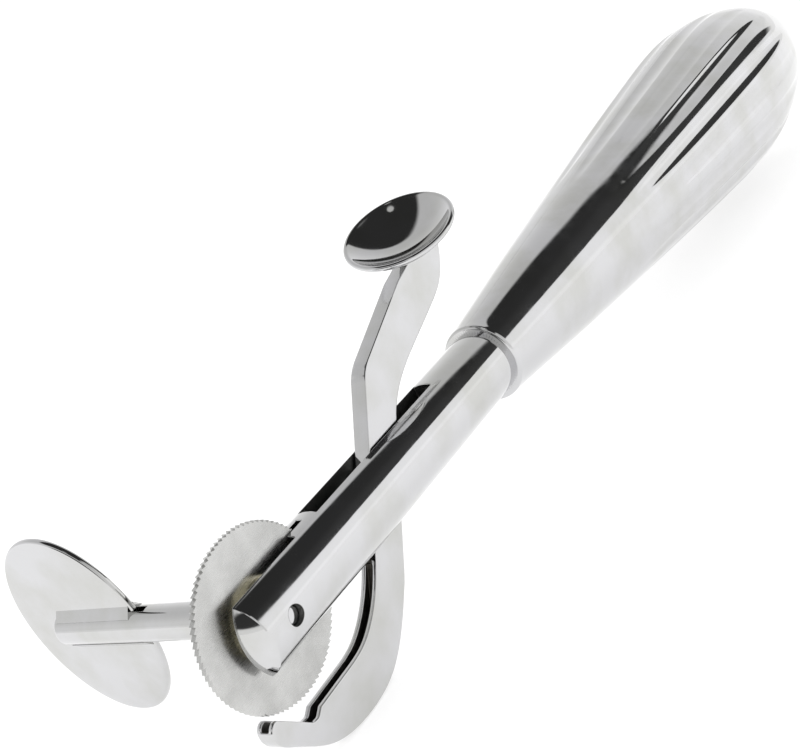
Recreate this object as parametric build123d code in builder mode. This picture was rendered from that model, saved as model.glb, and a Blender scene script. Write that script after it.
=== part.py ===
# Finger ring cutter: a round forked shank with a hollow fluted handle, a small circular saw
# turned by a thumb key, and a guard lever that slides under the ring and closes on the saw.
#
# Millimetres. The origin is where the saw spindle's axis crosses the shank's axis.
# +X runs along the shank to the handle, +Y along the spindle to the key, +Z to the thumb dish.
import math
import os

from build123d import *

os.makedirs("parts", exist_ok=True)

# ---------------------------------------------------------------- driving dimensions
# Shank: a round bar, forked at the front, slotted for the lever, turned down to a tang.
SHANK_R = 4.45
SHANK_FRONT = -5.5            # apex of the domed front end
SHANK_DOME_R = 7.0
NECK_X = 48.6                 # where the bar enters the handle
TANG_R = 3.0
TANG_END = 74.0

# Fork: a kerf for the saw, with a wider pocket on the near cheek for the saw's hub.
KERF_W = 0.9
KERF_END = 10.0
POCKET_Y = -1.45              # inner face of the near cheek
POCKET_END = 7.2

# Lever slot and pivot.
SLOT_FRONT = 11.5
SLOT_REAR = 36.7
SLOT_W = 2.6
PIVOT_X = 21.0
PIN_R = 1.0
PIN_HOLE_R = 1.05
PIN_HEAD_R = 1.6
PIN_HEAD_DEPTH = 0.6

# Saw blade and its threaded hub.
BLADE_TIP_R = 9.5
TOOTH_H = 0.29
TEETH = 88
TOOTH_RISE = 0.9              # share of the pitch taken by the long back of a tooth
BLADE_T = 0.6
HUB_R = 4.25
HUB_NECK_R = 3.0
HUB_NEAR_Y = -1.35
HUB_PEEN = 0.08               # how far the hub's neck stands past the blade's far face
HUB_CHAMFER = 0.25

# Key: a rod with a stepped front end, and an oval thumb plate let into its sawn rear end.
ROD_R = 2.02
ROD_BORE_R = 2.08
THREAD_R = 1.45
JOURNAL_R = 1.0
JOURNAL_BORE_R = 1.05
JOURNAL_END_Y = -3.7
ROD_END_Y = 31.6
ROD_END_ROUND = 0.6
PLATE_Y = 27.9
PLATE_HALF_Y = 9.95
PLATE_HALF_Z = 12.4
PLATE_T = 0.8
PLATE_EDGE_ROUND = 0.3
PLATE_TURN = 3.4              # degrees that the key stands turned at rest
SAW_CUT_START_Y = 16.4        # the rod's saw cut runs a little past the plate's edge
FILLET_LEG = 0.7              # solder between rod and plate

# Guard lever.
LEVER_T = 2.2
BOSS_R = 2.8
GROOVE_W = 1.0
GROOVE_DEPTH = 1.2

# Thumb dish: a spherical cup, canted a little towards the near side.
DISH_X, DISH_Z = 45.3, 20.3
DISH_RIM_R = 7.1
DISH_DEPTH = 2.6
DISH_T = 0.7
DISH_LEAN = 104.6             # degrees from +X to the dish's axis, about -Y
DISH_CANT = 9.8               # degrees towards -Y
DISH_SEAT = 0.4               # how far the cup is let into the lever's end
DISH_RIM_ROUND = 0.25
DISH_SOLDER_R = 2.3
DISH_SOLDER_DROP = 1.5

# Handle: a hollow pear-shaped grip of two pressed halves, with shallow flutes.
HANDLE_TIP = 170.3
HANDLE_PROFILE = [            # (distance along X, radius) of the outside, neck to rear
    (51.0, 5.45), (66.0, 7.1), (85.0, 9.0), (103.0, 10.75), (121.0, 12.3), (137.0, 13.0),
    (150.0, 11.4), (160.0, 8.5), (167.0, 4.9),
]
HANDLE_CAVITY = [             # the same for the inside, which leaves a wall of about 1.6
    (72.0, 6.1), (85.0, 7.4), (103.0, 9.15), (121.0, 10.6), (137.0, 11.3), (148.0, 10.1),
    (157.0, 7.4), (162.5, 4.6), (165.5, 2.3),
]
CAVITY_TIP = 166.0
NECK_R = 5.3
NECK_LIP_R = 0.45
FLUTES = 18
FLUTE_PHASE = 7.0             # degrees from +Z towards -Y to the middle of the first flute
FLUTE_R = 3.4                 # radius of a flute's hollow
FLUTE_BOTTOM = [(82.0, 8.70), (106.0, 10.62), (130.0, 12.40), (153.5, 10.68)]  # (along X, radius)
SLEEVE_END = 66.0
SLEEVE_R = 3.9
TANG_PIN_R = 0.9
TANG_PIN_X = 60.0


def along_y(x, z, y=0.0):
    """Plane at (x, y, z) whose normal is +Y and whose sketch axes are +Z and +X."""
    return Plane(origin=(x, y, z), x_dir=(0, 0, 1), z_dir=(0, 1, 0))


# Sketch plane of the lever and the saw: local x is +X, local y is +Z, normal is -Y.
SIDE = Plane(origin=(0, 0, 0), x_dir=(1, 0, 0), z_dir=(0, -1, 0))

lean = math.radians(DISH_LEAN)
cant = math.radians(DISH_CANT)
DISH_AXIS = Vector(math.cos(cant) * math.cos(lean), -math.sin(cant), math.cos(cant) * math.sin(lean))
DISH_SPHERE_R = (DISH_RIM_R**2 + DISH_DEPTH**2) / (2 * DISH_DEPTH)
DISH_RIM_CENTRE = Vector(DISH_X, 0, DISH_Z)
DISH_SPHERE_CENTRE = DISH_RIM_CENTRE + DISH_AXIS * (DISH_SPHERE_R - DISH_DEPTH)
DISH_PLANE = Plane(origin=DISH_SPHERE_CENTRE, x_dir=(0, 1, 0), z_dir=DISH_AXIS)
KEY_PLANE = Plane(
    origin=(0, PLATE_Y, 0),
    x_dir=(0, 1, 0),
    z_dir=(-math.cos(math.radians(PLATE_TURN)), 0, -math.sin(math.radians(PLATE_TURN))),
)

# ---------------------------------------------------------------- shank
with BuildPart() as shank:
    # the round bar with its domed front end, and the tang inside the handle
    dome_edge = SHANK_FRONT + SHANK_DOME_R - math.sqrt(SHANK_DOME_R**2 - SHANK_R**2)
    with BuildSketch(Plane.XZ):
        with BuildLine():
            RadiusArc((SHANK_FRONT, 0), (dome_edge, SHANK_R), SHANK_DOME_R)
            Polyline(
                (dome_edge, SHANK_R), (NECK_X, SHANK_R), (NECK_X, TANG_R),
                (TANG_END, TANG_R), (TANG_END, 0), (SHANK_FRONT, 0),
            )
        make_face()
    revolve(axis=Axis.X)
    # the kerf that the saw turns in, and the hub's pocket behind the near cheek
    with BuildSketch(Plane.XY):
        with Locations(((SHANK_FRONT + KERF_END) / 2 - 1, 0)):
            Rectangle(KERF_END - SHANK_FRONT + 2, KERF_W)
        with Locations(((SHANK_FRONT + POCKET_END) / 2 - 1, POCKET_Y / 2)):
            Rectangle(POCKET_END - SHANK_FRONT + 2, -POCKET_Y)
    extrude(amount=2 * SHANK_R, both=True, mode=Mode.SUBTRACT)
    # the through slot for the lever
    with BuildSketch(Plane.XY):
        with Locations(((SLOT_FRONT + SLOT_REAR) / 2, 0)):
            Rectangle(SLOT_REAR - SLOT_FRONT, SLOT_W)
    extrude(amount=2 * SHANK_R, both=True, mode=Mode.SUBTRACT)
    # the journal bore in the near cheek, and the rod's bore in the far cheek
    with BuildSketch(along_y(0, 0, -2 * SHANK_R)):
        Circle(JOURNAL_BORE_R)
    extrude(amount=2 * SHANK_R, mode=Mode.SUBTRACT)
    with BuildSketch(along_y(0, 0)):
        Circle(ROD_BORE_R)
    extrude(amount=2 * SHANK_R, mode=Mode.SUBTRACT)
    # the lever pin's hole, countersunk on both sides for the riveted heads
    with BuildSketch(along_y(PIVOT_X, 0)):
        Circle(PIN_R)
    extrude(amount=2 * SHANK_R, both=True, mode=Mode.SUBTRACT)
    for side in (-1, 1):
        with BuildSketch(Plane(origin=(PIVOT_X, side * (SHANK_R - PIN_HEAD_DEPTH), 0), z_dir=(0, side, 0))):
            Circle(PIN_HEAD_R)
        extrude(amount=2 * PIN_HEAD_DEPTH, mode=Mode.SUBTRACT)
    # the cross hole for the tang pin
    with BuildSketch(along_y(TANG_PIN_X, 0)):
        Circle(TANG_PIN_R)
    extrude(amount=2 * TANG_R, both=True, mode=Mode.SUBTRACT)
shank.part.label = "shank"

# ---------------------------------------------------------------- lever pin, riveted flush
with BuildPart() as lever_pin:
    with BuildSketch(along_y(PIVOT_X, 0)):
        Circle(PIN_R)
    extrude(amount=SHANK_R - PIN_HEAD_DEPTH, both=True)
    for side in (-1, 1):
        with BuildSketch(Plane(origin=(PIVOT_X, side * (SHANK_R - PIN_HEAD_DEPTH), 0), z_dir=(0, side, 0))):
            Circle(PIN_HEAD_R)
        extrude(amount=2 * PIN_HEAD_DEPTH)
    # the heads are dressed down to the round of the bar
    with BuildSketch(Plane.YZ.offset(PIVOT_X - 2 * PIN_HEAD_R)):
        Circle(SHANK_R)
    extrude(amount=4 * PIN_HEAD_R, mode=Mode.INTERSECT)
lever_pin.part.label = "lever_pin"

# ---------------------------------------------------------------- saw blade
root_r = BLADE_TIP_R - TOOTH_H
pitch = 2 * math.pi / TEETH
tooth_points = []
for tooth in range(TEETH):
    start = tooth * pitch
    tip = start + TOOTH_RISE * pitch
    tooth_points.append((root_r * math.cos(start), root_r * math.sin(start)))
    tooth_points.append((BLADE_TIP_R * math.cos(tip), BLADE_TIP_R * math.sin(tip)))
with BuildPart() as saw_blade:
    with BuildSketch(SIDE):
        with BuildLine():
            Polyline(*tooth_points, close=True)
        make_face()
        Circle(HUB_NECK_R, mode=Mode.SUBTRACT)
    extrude(amount=BLADE_T / 2, both=True)
saw_blade.part.label = "saw_blade"

# ---------------------------------------------------------------- hub, peened into the blade
with BuildPart() as blade_hub:
    with BuildSketch(along_y(0, 0, HUB_NEAR_Y)):
        Circle(HUB_R)
    extrude(amount=-HUB_NEAR_Y - BLADE_T / 2)
    chamfer(blade_hub.faces().sort_by(Axis.Y)[0].edges(), HUB_CHAMFER)
    with BuildSketch(along_y(0, 0, -BLADE_T / 2)):
        Circle(HUB_NECK_R)
    extrude(amount=BLADE_T + HUB_PEEN)
    with BuildSketch(along_y(0, 0, HUB_NEAR_Y)):
        Circle(THREAD_R)
    extrude(amount=-2 * HUB_NEAR_Y, mode=Mode.SUBTRACT)
blade_hub.part.label = "blade_hub"

# ---------------------------------------------------------------- key rod
shoulder_y = BLADE_T / 2 + HUB_PEEN
with BuildPart() as key_spindle:
    with BuildSketch(along_y(0, 0, JOURNAL_END_Y)):
        Circle(JOURNAL_R)
    extrude(amount=HUB_NEAR_Y - JOURNAL_END_Y)
    with BuildSketch(along_y(0, 0, HUB_NEAR_Y)):
        Circle(THREAD_R)
    extrude(amount=shoulder_y - HUB_NEAR_Y)
    with BuildSketch(along_y(0, 0, shoulder_y)):
        Circle(ROD_R)
    extrude(amount=ROD_END_Y - shoulder_y)
    fillet(key_spindle.edges().filter_by(GeomType.CIRCLE).sort_by(Axis.Y)[-1], ROD_END_ROUND)
    # the saw cut that holds the plate
    with BuildSketch(KEY_PLANE):
        with Locations(((SAW_CUT_START_Y + ROD_END_Y + 2) / 2 - PLATE_Y, 0)):
            Rectangle(ROD_END_Y + 2 - SAW_CUT_START_Y, 4 * ROD_R)
    extrude(amount=PLATE_T / 2, both=True, mode=Mode.SUBTRACT)
key_spindle.part.label = "key_spindle"

# ---------------------------------------------------------------- key plate
with BuildPart() as key_plate:
    with BuildSketch(KEY_PLANE):
        Ellipse(PLATE_HALF_Y, PLATE_HALF_Z)
    extrude(amount=PLATE_T / 2, both=True)
    fillet(key_plate.edges(), PLATE_EDGE_ROUND)
key_plate.part.label = "key_plate"

# ---------------------------------------------------------------- solder fillets of the key
solder_start = PLATE_Y - PLATE_HALF_Y + 0.4
solder_end = ROD_END_Y - 0.8
half_gap = PLATE_T / 2
with BuildPart() as key_solder:
    # one small fillet in each of the four corners between the rod and the plate
    for face_side in (-1, 1):
        for rod_side in (-1, 1):
            corner = math.sqrt(ROD_R**2 - half_gap**2)
            with BuildSketch(
                Plane(origin=KEY_PLANE.origin + KEY_PLANE.x_dir * (solder_start - PLATE_Y),
                      x_dir=KEY_PLANE.y_dir, z_dir=KEY_PLANE.x_dir)
            ):
                with BuildLine():
                    Polyline(
                        (rod_side * (corner - 0.3), face_side * half_gap),
                        (rod_side * (corner + FILLET_LEG), face_side * half_gap),
                        (rod_side * (corner - 0.35), face_side * (half_gap + FILLET_LEG + 0.2)),
                        close=True,
                    )
                make_face()
            extrude(amount=solder_end - solder_start)
    add(key_spindle.part, mode=Mode.SUBTRACT)
key_solder.part.label = "key_solder"

# ---------------------------------------------------------------- guard lever
# The outline, seen from the near side: the front edge of the upper arm runs down through the
# shank to the inner edge of the guard, the hook points back up at the saw, and the outer edge
# returns behind the pivot to the back of the upper arm.
end_front = (39.9, 16.3)
end_back = (50.6, 19.0)
elbow_front = (28.6, 11.7)
guard_inner_top = (15.9, -5.2)
guard_inner_upper = (12.6, -8.6)
guard_inner_bend = (9.0, -10.6)
guard_inner_low = (5.6, -11.05)
notch_front = (-0.3, -11.15)
notch_deep = (-1.2, -11.75)
hook_root = (-2.1, -11.6)
hook_tip = (-5.9, -7.95)
hook_nose = (-7.15, -9.0)
hook_back = (-5.5, -11.7)
heel = (5.5, -16.7)
guard_outer_top = (22.3, -4.6)
back_elbow = (29.0, 4.3)

with BuildPart() as guard_lever:
    with BuildSketch(SIDE):
        with BuildLine():
            Line(end_front, (30.4, 12.5))
            Spline((30.4, 12.5), elbow_front, (27.2, 10.4), tangents=((-0.93, -0.38), (-0.6, -0.8)))
            Line((27.2, 10.4), guard_inner_top)
            Spline(
                guard_inner_top, guard_inner_upper, guard_inner_bend, guard_inner_low,
                tangents=((-0.6, -0.8), (-1, -0.02)),
            )
            Polyline(guard_inner_low, notch_front, notch_deep, hook_root, hook_tip)
            ThreePointArc(hook_tip, (-6.75, -8.15), hook_nose)
            Spline(
                hook_nose, hook_back, (-1.2, -15.2), heel, (11.4, -15.5), (17.4, -10.8), guard_outer_top,
                tangents=((-0.1, -1), (0.596, 0.803)),
            )
            Line(guard_outer_top, back_elbow)
            Spline(
                back_elbow, (33.2, 7.6), (38.0, 9.4), (43.6, 11.2), (47.6, 13.2), (49.6, 15.8), end_back,
                tangents=((0.596, 0.803), (0.25, 1)),
            )
            Line(end_back, end_front)
        make_face()
        with Locations((PIVOT_X, 0)):
            Circle(BOSS_R)
            Circle(PIN_HOLE_R, mode=Mode.SUBTRACT)
    extrude(amount=LEVER_T / 2, both=True)
    # the groove in the guard's inner edge, which the saw's teeth run into
    with BuildSketch(SIDE):
        with BuildLine():
            Polyline(
                (14.6, -5.6), guard_inner_upper, guard_inner_bend, guard_inner_low, notch_front,
                notch_deep, hook_root, hook_tip, (-11.9, -2.2), (0.0, -2.2), (4.0, -5.6), close=True,
            )
        make_face()
        offset(amount=GROOVE_DEPTH, kind=Kind.ARC)
    extrude(amount=GROOVE_W / 2, both=True, mode=Mode.SUBTRACT)
    # the seat for the thumb dish
    with BuildSketch(Plane(origin=DISH_RIM_CENTRE - DISH_AXIS * (DISH_DEPTH - DISH_SEAT), z_dir=DISH_AXIS)):
        Rectangle(40, 40)
    extrude(amount=20, mode=Mode.SUBTRACT)
    with Locations(DISH_PLANE):
        Sphere(DISH_SPHERE_R, mode=Mode.SUBTRACT)
guard_lever.part.label = "guard_lever"

# ---------------------------------------------------------------- thumb dish
inner_r = DISH_SPHERE_R - DISH_T
with BuildPart() as thumb_dish:
    with Locations(DISH_PLANE):
        Sphere(DISH_SPHERE_R)
        Sphere(inner_r, mode=Mode.SUBTRACT)
    with BuildSketch(Plane(origin=DISH_RIM_CENTRE, x_dir=(0, 1, 0), z_dir=DISH_AXIS)):
        Rectangle(4 * DISH_SPHERE_R, 4 * DISH_SPHERE_R)
    extrude(amount=3 * DISH_SPHERE_R, mode=Mode.SUBTRACT)
    fillet(thumb_dish.edges().filter_by(GeomType.CIRCLE), DISH_RIM_ROUND)
thumb_dish.part.label = "thumb_dish"

# ---------------------------------------------------------------- solder under the dish
with BuildPart() as dish_solder:
    with BuildSketch(Plane(origin=DISH_RIM_CENTRE - DISH_AXIS * (DISH_DEPTH - DISH_SEAT), z_dir=DISH_AXIS)):
        Circle(DISH_SOLDER_R)
    with BuildSketch(
        Plane(origin=DISH_RIM_CENTRE - DISH_AXIS * (DISH_DEPTH + DISH_SOLDER_DROP), z_dir=DISH_AXIS)
    ):
        Circle(LEVER_T / 2 + 0.15)
    loft()
    with Locations(DISH_PLANE):
        Sphere(DISH_SPHERE_R, mode=Mode.SUBTRACT)
    with BuildSketch(Plane.XZ):
        with Locations((DISH_X, DISH_Z - DISH_DEPTH)):
            Rectangle(6 * DISH_SOLDER_R, 6 * DISH_SOLDER_R)
    extrude(amount=LEVER_T / 2, both=True, mode=Mode.SUBTRACT)
dish_solder.part.label = "dish_solder"


# ---------------------------------------------------------------- handle
with BuildPart() as handle_body:
    # the outer skin: a rounded lip at the neck, then the pear-shaped profile to the tip
    with BuildSketch(Plane.XZ):
        with BuildLine():
            Polyline((HANDLE_TIP, 0), (NECK_X, 0), (NECK_X, NECK_R - NECK_LIP_R))
            ThreePointArc(
                (NECK_X, NECK_R - NECK_LIP_R),
                (NECK_X + 0.3 * NECK_LIP_R, NECK_R - 0.3 * NECK_LIP_R),
                (NECK_X + NECK_LIP_R, NECK_R),
            )
            Spline(
                (NECK_X + NECK_LIP_R, NECK_R), *HANDLE_PROFILE, (HANDLE_TIP, 0),
                tangents=((1, 0.02), (0, -1)),
            )
        make_face()
    revolve(axis=Axis.X)
    # the flutes: a round cutter on two tangent arcs, which leaves the skin at both ends
    front, middle, join, rear = [(x, bottom_r + FLUTE_R) for x, bottom_r in FLUTE_BOTTOM]
    with BuildPart(mode=Mode.PRIVATE) as flute_cutter:
        with BuildLine(Plane.XZ) as flute_path:
            front_arc = ThreePointArc(front, middle, join)
            TangentArc(join, rear, tangent=front_arc % 1)
        with BuildSketch(Plane(origin=flute_path.wire() @ 0, z_dir=flute_path.wire() % 0)):
            Circle(FLUTE_R)
        sweep()
    for flute in range(FLUTES):
        add(
            flute_cutter.part.rotate(Axis.X, FLUTE_PHASE + flute * 360 / FLUTES),
            mode=Mode.SUBTRACT,
        )
    # the cavity, and the bore for the tang's sleeve
    with BuildSketch(Plane.XZ):
        with BuildLine():
            Spline(
                (SLEEVE_END, SLEEVE_R), *HANDLE_CAVITY, (CAVITY_TIP, 0), tangents=((0, 1), (0, -1)),
            )
            Polyline((CAVITY_TIP, 0), (SLEEVE_END, 0), (SLEEVE_END, SLEEVE_R))
        make_face()
    revolve(axis=Axis.X, mode=Mode.SUBTRACT)
    with BuildSketch(Plane.YZ.offset(NECK_X)):
        Circle(SLEEVE_R)
    extrude(amount=SLEEVE_END - NECK_X, mode=Mode.SUBTRACT)
handle_halves = {}
for half_name, keep in (("handle_half_near", Keep.BOTTOM), ("handle_half_far", Keep.TOP)):
    with BuildPart() as half:
        add(handle_body.part)
        split(bisect_by=Plane(origin=(0, 0, 0), z_dir=(0, 1, 0)), keep=keep)
    half.part.label = half_name
    handle_halves[half_name] = half

# ---------------------------------------------------------------- sleeve and pin of the tang
with BuildPart() as tang_sleeve:
    with BuildSketch(Plane.YZ.offset(NECK_X)):
        Circle(SLEEVE_R)
        Circle(TANG_R, mode=Mode.SUBTRACT)
    extrude(amount=SLEEVE_END - NECK_X)
    with BuildSketch(along_y(TANG_PIN_X, 0)):
        Circle(TANG_PIN_R)
    extrude(amount=2 * SLEEVE_R, both=True, mode=Mode.SUBTRACT)
tang_sleeve.part.label = "tang_sleeve"

with BuildPart() as tang_pin:
    with BuildSketch(along_y(TANG_PIN_X, 0)):
        Circle(TANG_PIN_R)
    extrude(amount=2 * SLEEVE_R, both=True)
    with BuildSketch(Plane.YZ.offset(TANG_PIN_X - 2 * TANG_PIN_R)):
        Circle(SLEEVE_R)
    extrude(amount=4 * TANG_PIN_R, mode=Mode.INTERSECT)
tang_pin.part.label = "tang_pin"

# ---------------------------------------------------------------- one file for each piece
pieces = [
    shank, lever_pin, saw_blade, blade_hub, key_spindle, key_plate, key_solder,
    guard_lever, thumb_dish, dish_solder, *handle_halves.values(), tang_sleeve, tang_pin,
]
for piece in pieces:
    export_step(piece.part, f"parts/{piece.part.label}.step")
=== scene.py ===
import math

import bmesh
import bpy
import numpy as np
from mathutils import Matrix, Vector


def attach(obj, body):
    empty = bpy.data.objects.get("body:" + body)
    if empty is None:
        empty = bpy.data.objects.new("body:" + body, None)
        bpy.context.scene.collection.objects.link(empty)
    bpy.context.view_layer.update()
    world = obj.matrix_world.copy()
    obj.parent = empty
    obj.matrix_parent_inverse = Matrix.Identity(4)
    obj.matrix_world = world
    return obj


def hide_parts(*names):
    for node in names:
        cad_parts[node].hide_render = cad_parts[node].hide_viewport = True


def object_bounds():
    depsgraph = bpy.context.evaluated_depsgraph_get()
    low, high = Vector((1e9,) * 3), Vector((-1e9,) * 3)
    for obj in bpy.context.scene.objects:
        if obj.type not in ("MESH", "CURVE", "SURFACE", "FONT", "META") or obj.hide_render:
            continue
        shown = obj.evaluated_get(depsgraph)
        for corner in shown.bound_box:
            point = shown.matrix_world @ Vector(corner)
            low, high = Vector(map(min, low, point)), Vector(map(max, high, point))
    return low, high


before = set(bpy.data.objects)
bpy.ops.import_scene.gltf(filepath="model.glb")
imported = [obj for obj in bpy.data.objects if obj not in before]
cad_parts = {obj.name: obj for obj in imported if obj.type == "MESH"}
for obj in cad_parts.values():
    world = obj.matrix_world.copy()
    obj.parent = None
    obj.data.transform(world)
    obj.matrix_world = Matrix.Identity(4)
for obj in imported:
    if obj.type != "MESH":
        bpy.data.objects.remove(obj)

MM = 0.001
bpy.context.view_layer.update()
cad_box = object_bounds()


# ---------------------------------------------------------------- sizes shared with the CAD
NECK_X = 48.6
NECK_R = 5.3
NECK_LIP_R = 0.45
HANDLE_TIP = 170.3
HANDLE_PROFILE = [
    (51.0, 5.45), (66.0, 7.1), (85.0, 9.0), (103.0, 10.75), (121.0, 12.3), (137.0, 13.0),
    (150.0, 11.4), (160.0, 8.5), (167.0, 4.9),
]
HANDLE_WALL = 1.6
CAVITY_TIP = 166.0
CAVITY_MAX_R = 11.3
CAVITY_ROUND = 9.0            # length over which the cavity closes at its rear end
SLEEVE_R = 3.9
SLEEVE_END_X = 66
FLUTES = 18
FLUTE_MIDDLE = 17.0           # degrees from +Y towards +Z to the middle of a flute
FLUTE_FRONT, FLUTE_REAR = 81.0, 151.5
FLUTE_DEPTH = 0.36
FLUTE_R = 3.4                 # radius of a flute's hollow
CREST_ROUND = 0.08            # how softly a flute's edge meets the skin
STEPS_PER_FLUTE = 32

SHANK_R = 4.45
DOME_CENTRE = Vector((1.5, 0.0, 0.0))
DOME_R = 7.0
PIN_X = 21.0
PIN_HEAD_R = 1.6
JOURNAL_BORE_R = 1.05
SLOT_MIDDLE_X, SLOT_REACH, SLOT_HALF = 24.1, 13.2, 1.32      # the part of the lever's slot painted dark: painted shade, with some dirt
# the part of the guard's groove painted dark: painted shade, with a little dirt
GROOVE_CENTRE, GROOVE_REACH, GROOVE_HALF = (4.0, -2.0), 12.7, 0.49

DISH_RIM_CENTRE = Vector((45.3, 0.0, 20.3))
DISH_LEAN, DISH_CANT = math.radians(104.6), math.radians(9.8)
DISH_RIM_R, DISH_DEPTH, DISH_T = 7.1, 2.6, 0.7

PLATE_CENTRE_Y = 27.9
PLATE_HALF_Y, PLATE_HALF_Z = 9.95, 12.4
PLATE_T, PLATE_EDGE = 0.8, 0.34
PLATE_TURN = math.radians(3.4)


# ---------------------------------------------------------------- curves and meshes
def curve_through(points, start, end, steps):
    """A smooth curve through the points, in steps + 1 samples, with these end directions."""
    p = np.array(points, float)
    u = np.r_[0, np.cumsum(np.linalg.norm(np.diff(p, axis=0), axis=1))]
    h = np.diff(u)
    n = len(p)
    a, b = np.zeros((n, n)), np.zeros(p.shape)
    a[0, 0] = a[-1, -1] = 1
    b[0], b[-1] = start, end
    for i in range(1, n - 1):
        a[i, i - 1], a[i, i], a[i, i + 1] = h[i], 2 * (h[i - 1] + h[i]), h[i - 1]
        b[i] = 3 * (h[i] * (p[i] - p[i - 1]) / h[i - 1] + h[i - 1] * (p[i + 1] - p[i]) / h[i])
    m = np.linalg.solve(a, b)
    s = np.linspace(0, u[-1], steps + 1)
    k = np.clip(np.searchsorted(u, s, "right") - 1, 0, n - 2)
    t = ((s - u[k]) / h[k])[:, None]
    hk = h[k][:, None]
    return (
        (2 * t**3 - 3 * t**2 + 1) * p[k] + (t**3 - 2 * t**2 + t) * hk * m[k]
        + (3 * t**2 - 2 * t**3) * p[k + 1] + (t**3 - t**2) * hk * m[k + 1]
    )


def arc(centre, radius, start_deg, end_deg, steps):
    """Points of a circular arc, as an array of (x, y)."""
    a = np.radians(np.linspace(start_deg, end_deg, steps + 1))
    return np.c_[centre[0] + radius * np.cos(a), centre[1] + radius * np.sin(a)]


def new_piece(name, bm):
    """An object from a bmesh in millimetres, with outward faces and smooth shading."""
    bmesh.ops.remove_doubles(bm, verts=bm.verts, dist=1e-4)
    bmesh.ops.recalc_face_normals(bm, faces=bm.faces)
    bmesh.ops.scale(bm, vec=(MM, MM, MM), verts=bm.verts)
    for face in bm.faces:
        face.smooth = True
    mesh = bpy.data.meshes.new(name)
    bm.to_mesh(mesh)
    bm.free()
    piece = bpy.data.objects.new(name, mesh)
    bpy.context.scene.collection.objects.link(piece)
    return piece


def add_grid(bm, rows, close_rows=False, close_columns=False):
    """Faces over a grid of points, rows x columns x 3. Points that coincide are merged later."""
    verts = [[bm.verts.new(p) for p in row] for row in rows]
    n, m = len(verts), len(verts[0])
    for i in range(n if close_rows else n - 1):
        for j in range(m if close_columns else m - 1):
            a, b = verts[i][j], verts[i][(j + 1) % m]
            c, d = verts[(i + 1) % n][(j + 1) % m], verts[(i + 1) % n][j]
            bm.faces.new((a, b, c, d))


def lathe(name, profile, origin, axis, steps=160):
    """A piece turned from a closed profile of (along the axis, radius) points."""
    axis = Vector(axis).normalized()
    side = axis.orthogonal().normalized()
    up = axis.cross(side)
    rows = []
    for k in range(steps):
        a = 2 * math.pi * k / steps
        out = side * math.cos(a) + up * math.sin(a)
        rows.append([origin + axis * float(h) + out * float(r) for h, r in profile])
    bm = bmesh.new()
    add_grid(bm, rows, close_rows=True, close_columns=True)
    return new_piece(name, bm)


def bar_normal(point, flat):
    """The outward direction of the round bar or its dome at a point, if the face lies on one."""
    radial = Vector((0, point.y, point.z))
    if radial.length > 0.97 * SHANK_R and flat.angle(radial) < math.radians(9):
        return radial.normalized()
    from_dome = point - DOME_CENTRE
    if from_dome.length > 0.98 * DOME_R and flat.angle(from_dome) < math.radians(12):
        return from_dome.normalized()
    return None


def softened(node, width, segments=2, angle=28.0, exact=None, sharp_at=None):
    """A copy of a CAD node with its edges rounded by this width, to stand for the node.

    exact gives the true normal of a curved face; sharp_at says which edges stay as they are.
    """
    bm = bmesh.new()
    bm.from_mesh(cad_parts[node].data)
    bmesh.ops.scale(bm, vec=(1 / MM, 1 / MM, 1 / MM), verts=bm.verts)
    bmesh.ops.remove_doubles(bm, verts=bm.verts, dist=0.002)
    bmesh.ops.dissolve_limit(bm, angle_limit=math.radians(0.4), verts=bm.verts, edges=bm.edges)
    limit = math.radians(angle)
    edges = [e for e in bm.edges if len(e.link_faces) == 2 and e.calc_face_angle(0) > limit]
    if sharp_at:
        edges = [e for e in edges if not sharp_at((e.verts[0].co + e.verts[1].co) / 2)]
    if width and edges:
        bevelled = bmesh.ops.bevel(
            bm, geom=edges, offset=width, offset_type="OFFSET", segments=segments, profile=0.5,
            affect="EDGES", clamp_overlap=False, miter_outer="ARC", loop_slide=True,
        )
        rounds = set(bevelled["faces"])
    else:
        rounds = set()
    rounding = bm.faces.layers.int.new("rounding")
    for face in bm.faces:
        face[rounding] = face in rounds
    big = [f for f in bm.faces if len(f.verts) > 4]
    bmesh.ops.triangulate(bm, faces=big)
    piece = new_piece(node + "_soft", bm)
    if exact:
        set_normals(piece.data, exact)
    else:
        weighted = piece.modifiers.new("weighted_normals", "WEIGHTED_NORMAL")
        weighted.weight = 100
    return piece


def set_normals(mesh, exact):
    """Flat faces shade flat, curved ones by their exact normals, and rounded edges between."""
    rounding = mesh.attributes["rounding"].data
    best = {}
    own = {}
    for face in mesh.polygons:
        if rounding[face.index].value:
            continue
        flat = face.normal.copy()
        for k in face.vertices:
            normal = exact(mesh.vertices[k].co / MM, flat) or flat
            own[face.index, k] = normal
            if face.area > best.get(k, (0, None))[0]:
                best[k] = (face.area, normal)
    normals = [(0, 0, 0)] * len(mesh.loops)
    for face in mesh.polygons:
        for loop in face.loop_indices:
            k = mesh.loops[loop].vertex_index
            normal = own.get((face.index, k)) or best.get(k, (0, face.normal))[1]
            normals[loop] = tuple(normal)
    mesh.normals_split_custom_set(normals)


def stands_for(piece, node, body, material):
    """Put a piece in a node's place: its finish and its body."""
    piece.data.materials.clear()
    piece.data.materials.append(material)
    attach(piece, body)
    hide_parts(node)
    return piece


# ---------------------------------------------------------------- materials
def node_tree(name):
    """A new material with its node tree, its shader and the place on the piece in millimetres."""
    material = bpy.data.materials.new(name)
    material.use_nodes = True
    tree = material.node_tree
    shader = tree.nodes["Principled BSDF"]
    place = tree.nodes.new("ShaderNodeTexCoord")
    scale = tree.nodes.new("ShaderNodeMapping")
    scale.inputs["Scale"].default_value = (1 / MM, 1 / MM, 1 / MM)
    tree.links.new(place.outputs["Object"], scale.inputs["Vector"])
    return material, tree, shader, scale.outputs["Vector"]


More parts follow.
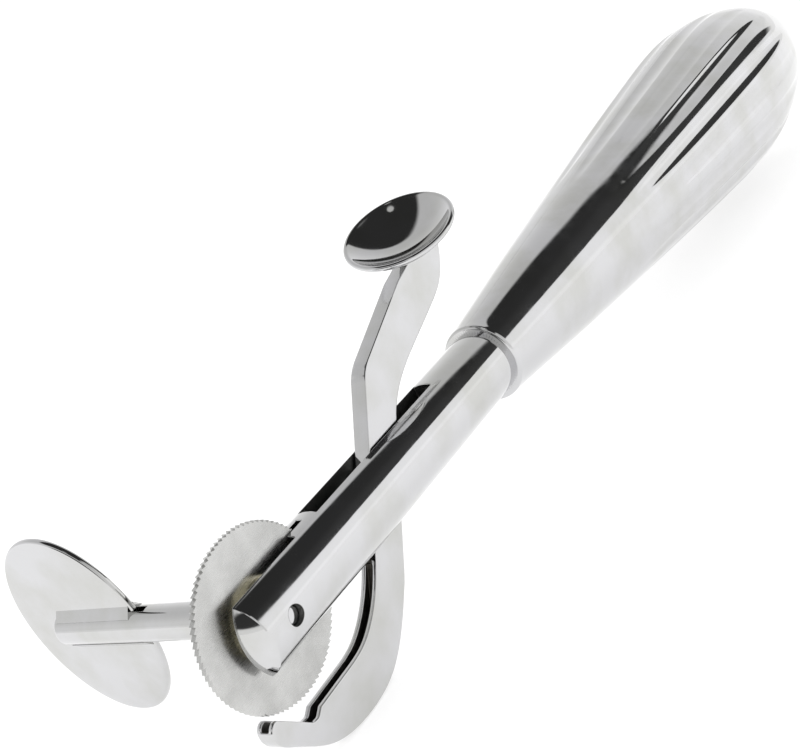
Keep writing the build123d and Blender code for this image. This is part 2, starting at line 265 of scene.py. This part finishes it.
def metal_tree(name):
    """The same for a metal."""
    material, tree, shader, mm = node_tree(name)
    shader.inputs["Metallic"].default_value = 1.0
    return material, tree, shader, mm


def noise(tree, vector, scale, detail=3.0, stretch=None, roughness=0.55):
    """Noise with features about 1 / scale millimetres across, stretched by these factors."""
    if stretch:
        squeeze = tree.nodes.new("ShaderNodeMapping")
        squeeze.inputs["Scale"].default_value = stretch
        tree.links.new(vector, squeeze.inputs["Vector"])
        vector = squeeze.outputs["Vector"]
    n = tree.nodes.new("ShaderNodeTexNoise")
    n.inputs["Scale"].default_value = scale
    n.inputs["Detail"].default_value = detail
    n.inputs["Roughness"].default_value = roughness
    tree.links.new(vector, n.inputs["Vector"])
    return n.outputs["Fac"]


def ramp(tree, value, stops):
    """A colour ramp with (position, grey or colour) stops."""
    r = tree.nodes.new("ShaderNodeValToRGB")
    for k, (position, colour) in enumerate(stops):
        stop = r.color_ramp.elements[k] if k < 2 else r.color_ramp.elements.new(position)
        stop.position = position
        rgb = colour if isinstance(colour, tuple) else (colour, colour, colour)
        stop.color = (*rgb, 1)
    tree.links.new(value, r.inputs["Fac"])
    return r.outputs["Color"]


def bump(tree, height, distance_mm, strength=1.0, under=None):
    b = tree.nodes.new("ShaderNodeBump")
    b.inputs["Distance"].default_value = distance_mm * MM
    b.inputs["Strength"].default_value = strength
    tree.links.new(height, b.inputs["Height"])
    if under is not None:
        tree.links.new(under, b.inputs["Normal"])
    return b.outputs["Normal"]


def math_node(tree, kind, a, b=None):
    """A Math node on sockets or numbers."""
    n = tree.nodes.new("ShaderNodeMath")
    n.operation = kind
    for k, value in enumerate((a, b)):
        if isinstance(value, (int, float)):
            n.inputs[k].default_value = value
        elif value is not None:
            tree.links.new(value, n.inputs[k])
    return n.outputs[0]


def step(tree, value, low, high):
    """0 below low, 1 above high, smooth between; the other way round where low is the larger."""
    n = tree.nodes.new("ShaderNodeMapRange")
    n.interpolation_type = "SMOOTHSTEP"
    n.inputs["From Min"].default_value = low
    n.inputs["From Max"].default_value = high
    tree.links.new(value, n.inputs["Value"])
    return n.outputs["Result"]


def near_line(tree, mm, x, z, radius, edge=0.06):
    """1 within this radius of a line along Y through (x, z), 0 outside, in millimetres."""
    split = tree.nodes.new("ShaderNodeSeparateXYZ")
    tree.links.new(mm, split.inputs[0])
    dx = math_node(tree, "SUBTRACT", split.outputs["X"], x)
    dz = math_node(tree, "SUBTRACT", split.outputs["Z"], z)
    dx2, dz2 = math_node(tree, "POWER", dx, 2), math_node(tree, "POWER", dz, 2)
    distance = math_node(tree, "SQRT", math_node(tree, "ADD", dx2, dz2))
    return step(tree, distance, radius + edge, radius)


def near_middle(tree, mm, half_width, edge=0.05):
    """1 where |y| is under this half width, in millimetres."""
    split = tree.nodes.new("ShaderNodeSeparateXYZ")
    tree.links.new(mm, split.inputs[0])
    distance = math_node(tree, "ABSOLUTE", split.outputs["Y"])
    return step(tree, distance, half_width + edge, half_width)


def mix(tree, share, a, b):
    """Colour a where share is 0 and b where it is 1; b may be a socket or an (r, g, b)."""
    n = tree.nodes.new("ShaderNodeMix")
    n.data_type = "RGBA"
    tree.links.new(share, n.inputs[0])
    tree.links.new(a, n.inputs[6])
    if isinstance(b, tuple):
        n.inputs[7].default_value = (*b, 1)
    else:
        tree.links.new(b, n.inputs[7])
    return n.outputs[2]


def chrome(name, light=(0.61, 0.61, 0.62), dull=(0.545, 0.545, 0.53), rough=(0.03, 0.11),
           wave_mm=0.05, wave_scale=0.07, shade_and_grime=None, shade_and_grime_colour=(0.05, 0.046, 0.04)):
    """Bright plating: cloudy tint, fine rub marks in the roughness, and a slow waviness.

    The mask function argument gives, from the tree and its vector, where the plating is painted
    dark and dull: painted shade in recesses, with some dirt and wear. The colour argument after
    it is that painted shade's colour.
    """
    material, tree, shader, mm = metal_tree(name)
    colour = ramp(tree, noise(tree, mm, 0.12, 4), [(0.35, dull), (0.6, light)])
    gloss = ramp(tree, noise(tree, mm, 0.35, 5), [(0.35, rough[0]), (0.75, rough[1])])
    if shade_and_grime:
        # painted shade in recesses, with some dirt: a darker colour and a rougher finish there
        shade_and_dirt = shade_and_grime(tree, mm)
        colour = mix(tree, shade_and_dirt, colour, shade_and_grime_colour)
        dull_rough = ramp(tree, noise(tree, mm, 3.0, 3), [(0.3, 0.3), (0.7, 0.6)])
        gloss = mix(tree, shade_and_dirt, gloss, dull_rough)
    tree.links.new(colour, shader.inputs["Base Color"])
    tree.links.new(gloss, shader.inputs["Roughness"])
    slow = bump(tree, noise(tree, mm, wave_scale, 1.0), wave_mm)
    fine = bump(tree, noise(tree, mm, 2.5, 2.0, stretch=(0.2, 1.0, 1.0)), 0.0012, under=slow)
    tree.links.new(fine, shader.inputs["Normal"])
    return material


def shank_shade_and_grime(tree, mm):
    """Painted shade, with some dirt, in the journal's bore and inside the lever's slot."""
    reach = near_line(tree, mm, SLOT_MIDDLE_X, 0, SLOT_REACH)
    slot = math_node(tree, "MULTIPLY", near_middle(tree, mm, SLOT_HALF), reach)
    bore = near_line(tree, mm, 0, 0, JOURNAL_BORE_R + 0.04)
    return math_node(tree, "MAXIMUM", bore, slot)


def groove_shade_and_grime(tree, mm):
    """Painted shade, with a little dirt, in the groove of the guard's inner edge."""
    reach = near_line(tree, mm, *GROOVE_CENTRE, GROOVE_REACH)
    return math_node(tree, "MULTIPLY", near_middle(tree, mm, GROOVE_HALF), reach)


def ground_steel(name):
    """Satin steel of the saw: fine grinding lines across it, a little uneven."""
    material, tree, shader, mm = metal_tree(name)
    lines = noise(tree, mm, 5.0, 4, stretch=(0.25, 1.0, 2.2))
    clouds = noise(tree, mm, 0.25, 3)
    tree.links.new(ramp(tree, clouds, [(0.35, (0.47, 0.47, 0.46)), (0.65, (0.57, 0.57, 0.56))]),
                   shader.inputs["Base Color"])
    tree.links.new(ramp(tree, lines, [(0.3, 0.22), (0.7, 0.34)]), shader.inputs["Roughness"])
    tree.links.new(bump(tree, lines, 0.002), shader.inputs["Normal"])
    return material


def turned_metal(name, light, dark, rough, bump_mm=0.02):
    """Turned or soldered metal, slightly tarnished."""
    material, tree, shader, mm = metal_tree(name)
    clouds = noise(tree, mm, 0.8, 4)
    tree.links.new(ramp(tree, clouds, [(0.35, dark), (0.65, light)]), shader.inputs["Base Color"])
    tree.links.new(ramp(tree, noise(tree, mm, 1.5, 3), [(0.3, rough - 0.08), (0.7, rough + 0.1)]),
                   shader.inputs["Roughness"])
    tree.links.new(bump(tree, noise(tree, mm, 1.2, 3), bump_mm), shader.inputs["Normal"])
    return material


CHROME = chrome("chrome_plate")
# the shank's plating, with painted shade and some dirt darkening its bore and slot
SHANK_CHROME = chrome("shank_plate", shade_and_grime=shank_shade_and_grime, shade_and_grime_colour=(0.11, 0.11, 0.105))
HANDLE_CHROME = chrome("handle_plate", wave_mm=0.10, wave_scale=0.05)
# the lever's plating, with painted shade and a little dirt darkening its groove
LEVER_CHROME = chrome("lever_plate", rough=(0.08, 0.2), wave_mm=0.02, shade_and_grime=groove_shade_and_grime)
SAW = ground_steel("saw_steel")
BRASS = turned_metal("brass", (0.62, 0.57, 0.40), (0.30, 0.28, 0.20), 0.28)
SOLDER = turned_metal("solder", (0.62, 0.62, 0.62), (0.52, 0.52, 0.52), 0.16, 0.008)
STEEL = turned_metal("steel", (0.60, 0.60, 0.60), (0.45, 0.45, 0.45), 0.35)


# ---------------------------------------------------------------- handle halves
def flute_cut(x, skin_r, angle_deg):
    """How deep the round flutes cut at x, where the skin's radius is skin_r, at these angles."""
    along = np.clip((x - FLUTE_FRONT) / (FLUTE_REAR - FLUTE_FRONT), 0, 1)
    depth = FLUTE_DEPTH * (1 - abs(2 * along**1.2 - 1) ** 2.4)
    pitch = 360 / FLUTES
    across = np.radians((angle_deg - FLUTE_MIDDLE + pitch / 2) % pitch - pitch / 2)
    centre_r = skin_r - depth + FLUTE_R
    floor_r = centre_r * np.cos(across) - np.sqrt(FLUTE_R**2 - (centre_r * np.sin(across)) ** 2)
    cut = skin_r - floor_r
    rounded = (cut + np.sqrt(cut**2 + CREST_ROUND**2)) / 2
    return rounded * np.clip(depth / CREST_ROUND, 0, 1)


def handle_half(name, first_deg):
    """One pressed half of the hollow handle, from first_deg over 180 degrees."""
    lip = arc((NECK_X + NECK_LIP_R, NECK_R - NECK_LIP_R), NECK_LIP_R, 180, 90, 8)
    skin = curve_through(
        [(NECK_X + NECK_LIP_R, NECK_R), *HANDLE_PROFILE, (HANDLE_TIP, 0)], (1, 0.02), (0, -1), 420
    )
    outer = np.r_[lip, skin[1:]]
    share = np.linspace(0, 1, len(outer))
    inside = np.c_[outer[:, 0], outer[:, 1] - HANDLE_WALL]
    inner_x = NECK_X + (CAVITY_TIP - NECK_X) * share
    inner_r = np.interp(inner_x, inside[:-12, 0], inside[:-12, 1])
    to_tip = np.clip((CAVITY_TIP - inner_x) / CAVITY_ROUND, 0, 1)
    inner_r = np.minimum(inner_r, CAVITY_MAX_R) * np.sqrt(to_tip * (2 - to_tip))
    inner_r[inner_x < SLEEVE_END_X] = SLEEVE_R
    angles = first_deg + np.linspace(0, 180, FLUTES // 2 * STEPS_PER_FLUTE + 1)
    rows = []
    for (x, r), (ix, ir) in zip(outer, np.c_[inner_x, inner_r]):
        fluted = FLUTE_FRONT < x < FLUTE_REAR
        cut = flute_cut(x, r, angles) if fluted else 0 * angles
        out = np.radians(angles)
        skin_points = np.c_[0 * out + x, (r - cut) * np.cos(out), (r - cut) * np.sin(out)]
        in_angles = out[::-8]
        inner_points = np.c_[0 * in_angles + ix, ir * np.cos(in_angles), ir * np.sin(in_angles)]
        rows.append(np.r_[skin_points, inner_points])
    bm = bmesh.new()
    add_grid(bm, rows, close_columns=True)
    # the end face at the neck, between the lip and the sleeve's bore
    lip_r = outer[0][1]
    lip_edge = [(NECK_X, lip_r * math.cos(a), lip_r * math.sin(a)) for a in np.radians(angles)]
    bore = [(NECK_X, SLEEVE_R * math.cos(a), SLEEVE_R * math.sin(a)) for a in np.radians(angles)]
    add_grid(bm, [lip_edge, bore])
    return new_piece(name, bm)


for side, first_deg in (("near", 90), ("far", 270)):
    grip = handle_half("grip_" + side, first_deg)
    stands_for(grip, "handle_half_" + side, "frame", HANDLE_CHROME)


# ---------------------------------------------------------------- thumb dish
def dish():
    """The thumb cup: a shallow bowl of even thickness with a rounded rim."""
    axis = Vector((
        math.cos(DISH_CANT) * math.cos(DISH_LEAN), -math.sin(DISH_CANT),
        math.cos(DISH_CANT) * math.sin(DISH_LEAN),
    ))
    sphere_r = (DISH_RIM_R**2 + DISH_DEPTH**2) / (2 * DISH_DEPTH)
    half = math.degrees(math.asin(DISH_RIM_R / sphere_r))
    centre_h = sphere_r - DISH_DEPTH
    under = arc((centre_h, 0), sphere_r, 180, 180 - half + 1.0, 48)
    hollow = arc((centre_h, 0), sphere_r - DISH_T, 180 - half + 1.5, 180, 48)
    mid_r = sphere_r - DISH_T / 2
    edge = math.radians(180 - half + 1.2)
    rim_centre = (centre_h + mid_r * math.cos(edge), mid_r * math.sin(edge))
    turn = math.degrees(edge)
    rim = arc(rim_centre, DISH_T / 2, turn, turn - 180, 14)
    profile = np.r_[under, rim[1:-1], hollow]
    return lathe("dish_cup", profile, DISH_RIM_CENTRE, axis)


stands_for(dish(), "thumb_dish", "guard", CHROME)


# ---------------------------------------------------------------- key plate
def plate():
    """The oval thumb plate: two flat faces and a round edge."""
    across = Vector((math.cos(PLATE_TURN), 0, math.sin(PLATE_TURN)))
    along = Vector((-math.sin(PLATE_TURN), 0, math.cos(PLATE_TURN)))
    centre = Vector((0, PLATE_CENTRE_Y, 0))
    half = PLATE_T / 2
    section = [(0, half)] + [(1 - s, half) for s in (0.7, 0.4, 0.2, 0.1, 0.05)]
    edge = arc((-PLATE_EDGE, half - PLATE_EDGE), PLATE_EDGE, 90, 0, 6)
    edge_low = arc((-PLATE_EDGE, PLATE_EDGE - half), PLATE_EDGE, 0, -90, 6)
    rings = []
    for share, h in section:
        rings.append((share, -PLATE_EDGE, h))
    for inset, h in [*edge, *edge_low]:
        rings.append((1, inset, h))
    for share, h in reversed(section):
        rings.append((share, -PLATE_EDGE, -h))
    rows = []
    steps = 220
    for k in range(steps):
        a = 2 * math.pi * k / steps
        row = []
        for share, inset, h in rings:
            y = share * (PLATE_HALF_Y + inset) * math.cos(a)
            z = share * (PLATE_HALF_Z + inset) * math.sin(a)
            row.append(centre + Vector((0, 1, 0)) * y + along * z + across * h)
        rows.append(row)
    bm = bmesh.new()
    add_grid(bm, rows, close_rows=True)
    return new_piece("thumb_plate", bm)


stands_for(plate(), "key_plate", "saw_and_key", CHROME)


# ---------------------------------------------------------------- pieces that follow the CAD
def keeps_sharp(point):
    """The flush pin heads, and the tang inside the handle, keep their edges."""
    at_pin = math.hypot(point.x - PIN_X, point.z) < PIN_HEAD_R + 0.3
    return at_pin or point.x > NECK_X - 0.5


shank_piece = softened("shank", 0.09, exact=bar_normal, sharp_at=keeps_sharp)
stands_for(shank_piece, "shank", "frame", SHANK_CHROME)
pin_piece = softened("lever_pin", 0, exact=bar_normal)
stands_for(pin_piece, "lever_pin", "frame", SHANK_CHROME)
stands_for(softened("guard_lever", 0.16), "guard_lever", "guard", LEVER_CHROME)
stands_for(softened("key_spindle", 0.08), "key_spindle", "saw_and_key", CHROME)

finish_of = {
    "saw_blade": SAW, "blade_hub": BRASS, "key_solder": CHROME,
    "dish_solder": SOLDER, "tang_sleeve": BRASS, "tang_pin": STEEL,
}
for node, material in finish_of.items():
    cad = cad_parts[node]
    for slot in cad.material_slots:
        slot.material = material


# ---------------------------------------------------------------- floor, studio and camera
def make_floor():
    """Pale paper that glows a little, so that hardly a shadow shows on it."""
    low = cad_box[0].z - 0.0002
    size = 6.0
    bm = bmesh.new()
    corners = [(-size, -size), (size, -size), (size, size), (-size, size)]
    bm.faces.new([bm.verts.new((x, y, low)) for x, y in corners])
    mesh = bpy.data.meshes.new("floor")
    bm.to_mesh(mesh)
    bm.free()
    floor = bpy.data.objects.new("floor", mesh)
    bpy.context.scene.collection.objects.link(floor)
    material, tree, shader, mm = node_tree("floor_paper")
    shader.inputs["Roughness"].default_value = 0.9
    shader.inputs["Specular IOR Level"].default_value = 0.0
    tree.links.new(ramp(tree, noise(tree, mm, 0.02, 2), [(0.3, 0.50), (0.7, 0.52)]),
                   shader.inputs["Base Color"])
    shader.inputs["Emission Color"].default_value = (1.0, 1.0, 1.0, 1.0)
    shader.inputs["Emission Strength"].default_value = 0.55
    mesh.materials.append(material)


def make_world():
    """A light dome with a dark gap overhead that runs down towards +X, and a dark wall at -X."""
    world = bpy.data.worlds.new("studio")
    bpy.context.scene.world = world
    world.use_nodes = True
    tree = world.node_tree
    back = tree.nodes["Background"]
    place = tree.nodes.new("ShaderNodeTexCoord")
    split = tree.nodes.new("ShaderNodeSeparateXYZ")
    tree.links.new(place.outputs["Generated"], split.inputs[0])
    x, y, z = split.outputs

    def facing(direction):
        d = Vector(direction).normalized()
        n = tree.nodes.new("ShaderNodeVectorMath")
        n.operation = "DOT_PRODUCT"
        tree.links.new(place.outputs["Generated"], n.inputs[0])
        n.inputs[1].default_value = d
        return n.outputs["Value"]

    def scaled(value, factor, offset):
        return math_node(tree, "ADD", math_node(tree, "MULTIPLY", value, factor), offset)

    # the gap, as a strip on a ceiling one unit up: u runs along +X, v along -Y
    up = math_node(tree, "MAXIMUM", z, 0.03)
    u = math_node(tree, "DIVIDE", x, up)
    v = math_node(tree, "DIVIDE", math_node(tree, "MULTIPLY", y, -1), up)
    # the strip's middle line: v = 0.12 at u = 0, 1.36 from u = 1.8 on
    middle = scaled(step(tree, u, 0.3, 1.8), 1.24, 0.12)
    off = math_node(tree, "ABSOLUTE", math_node(tree, "SUBTRACT", v, middle))
    half_width = scaled(step(tree, u, 0.5, 2.5), -0.15, 0.6)
    inside = math_node(tree, "DIVIDE", off, half_width)
    strip = math_node(tree, "MULTIPLY", step(tree, inside, 1.12, 0.88), step(tree, u, -0.9, -0.7))
    strip = math_node(tree, "MULTIPLY", strip, step(tree, z, 0.03, 0.12))
    # a dark wall low down at -X
    wall = math_node(tree, "MULTIPLY", step(tree, x, -0.80, -0.88), step(tree, z, 0.10, 0.15))
    wall = math_node(tree, "MULTIPLY", wall, step(tree, z, 0.56, 0.48))
    dark = math_node(tree, "MAXIMUM", strip, wall)
    # small lamps that show as highlights in the dark reflections
    for lamp, spread in (((-0.39, -0.21, 0.90), 4.5), ((-0.825, 0.184, 0.534), 3.0)):
        outer, inner = (math.cos(math.radians(a)) for a in (spread, spread - 1))
        dark = math_node(tree, "SUBTRACT", dark, step(tree, facing(lamp), outer, inner))
    dark = math_node(tree, "MAXIMUM", dark, 0.0)

    # the walls grow lighter downwards, and again just over the floor
    walls = scaled(step(tree, z, 0.80, 0.25), 0.26, 0.70)
    low_wall = math_node(tree, "MULTIPLY", step(tree, z, 0.14, 0.06), 0.12)
    walls = math_node(tree, "ADD", walls, low_wall)
    # a brighter window towards +X and -Y
    key = math_node(tree, "MULTIPLY", step(tree, facing((0.66, -0.72, 0.25)), 0.86, 0.97), 0.25)
    glow = math_node(tree, "ADD", walls, key)
    level = math_node(tree, "MULTIPLY", glow, scaled(dark, -0.95, 1.0))
    # seen directly, the studio is plain white
    ray = tree.nodes.new("ShaderNodeLightPath")
    level = math_node(tree, "MAXIMUM", level, ray.outputs["Is Camera Ray"])
    tree.links.new(level, back.inputs["Strength"])
    back.inputs["Color"].default_value = (1.0, 1.0, 1.0, 1.0)


def make_light(name, towards, strength, spread_deg):
    """A broad, even light from one side, which isn't seen in the plating."""
    light = bpy.data.lights.new(name, "SUN")
    light.energy = strength
    light.angle = math.radians(spread_deg)
    lamp = bpy.data.objects.new(name, light)
    lamp.rotation_euler = Vector(towards).to_track_quat("-Z", "Y").to_euler()
    lamp.visible_glossy = False
    bpy.context.scene.collection.objects.link(lamp)


CAMERA_PLACE = Vector((-75.63, -96.77, 57.16)) * MM
CAMERA_RIGHT = Vector((0.48148, -0.76565, -0.42656))
CAMERA_UP = Vector((0.51406, -0.14749, 0.84498))
CAMERA_LENS = 60.967


def make_camera():
    data = bpy.data.cameras.new("camera")
    data.lens = CAMERA_LENS
    data.sensor_width = 36.0
    data.clip_start, data.clip_end = 0.005, 20.0
    camera = bpy.data.objects.new("camera", data)
    right = CAMERA_RIGHT.normalized()
    up = (CAMERA_UP - right * CAMERA_UP.dot(right)).normalized()
    turn = Matrix((right, up, right.cross(up))).transposed()
    camera.matrix_world = Matrix.Translation(CAMERA_PLACE) @ turn.to_4x4()
    bpy.context.scene.collection.objects.link(camera)
    bpy.context.scene.camera = camera


make_floor()
make_world()
make_light("overhead", (0.2, 0.25, -1.0), 2.9, 140.0)
make_camera()
bpy.context.scene.view_settings.view_transform = "Standard"
